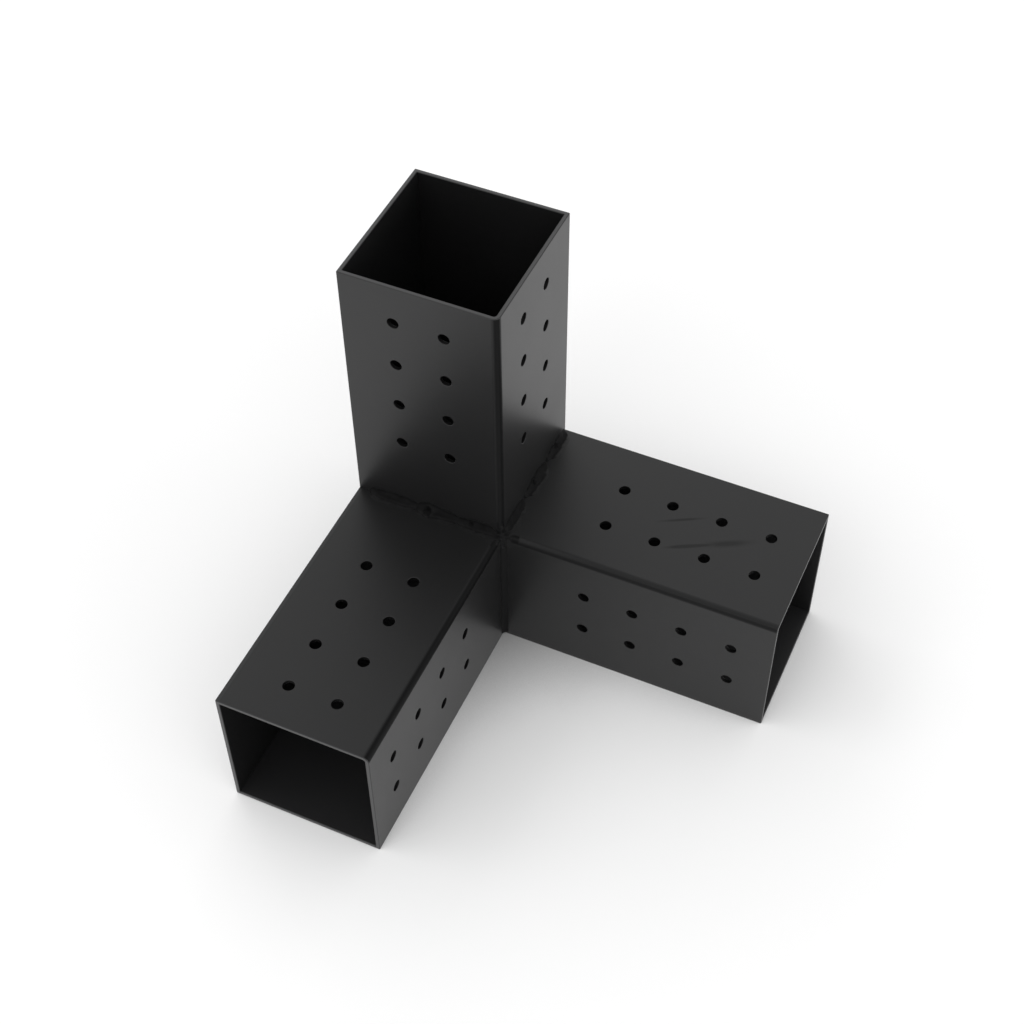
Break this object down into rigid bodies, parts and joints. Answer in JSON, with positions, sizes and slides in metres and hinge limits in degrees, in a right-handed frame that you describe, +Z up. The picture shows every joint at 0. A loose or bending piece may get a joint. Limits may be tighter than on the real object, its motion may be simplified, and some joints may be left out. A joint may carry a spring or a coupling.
{
  "type": "three way corner connector",
  "caption": "Welded sheet steel corner with square sockets that join an upright post and a pair of beams at right angles, each held by screws.",
  "frame": {"origin": "on the ground face, under the centre of the upright post socket", "axes": "+Z up the post socket, +X out along the right beam socket, -Y out along the left beam socket"},
  "size_m": [0.267, 0.267, 0.267],
  "materials": {
    "sheet": "satin black powder coat",
    "weld": "satin black powder coat over weld metal"
  },
  "bodies": {
    "root": {"bottom_plate": "sheet", "side_plate": "sheet", "back_plate": "sheet", "post_angle": "sheet", "right_beam_angle": "sheet", "left_beam_angle": "sheet", "post_outer_seam": "weld", "post_tongue_seam": "weld", "post_edge_seam": "weld", "right_beam_outer_seam": "weld", "right_beam_tongue_seam": "weld", "right_beam_edge_seam": "weld", "left_beam_outer_seam": "weld", "left_beam_tongue_seam": "weld", "left_beam_edge_seam": "weld", "left_stitch_outer": "weld", "left_stitch_middle": "weld", "left_stitch_inner": "weld", "right_stitch_outer": "weld", "right_stitch_middle": "weld", "right_stitch_inner": "weld", "inner_corner_weld": "weld", "bend_corner_weld": "weld"}
  },
  "joints": []
}
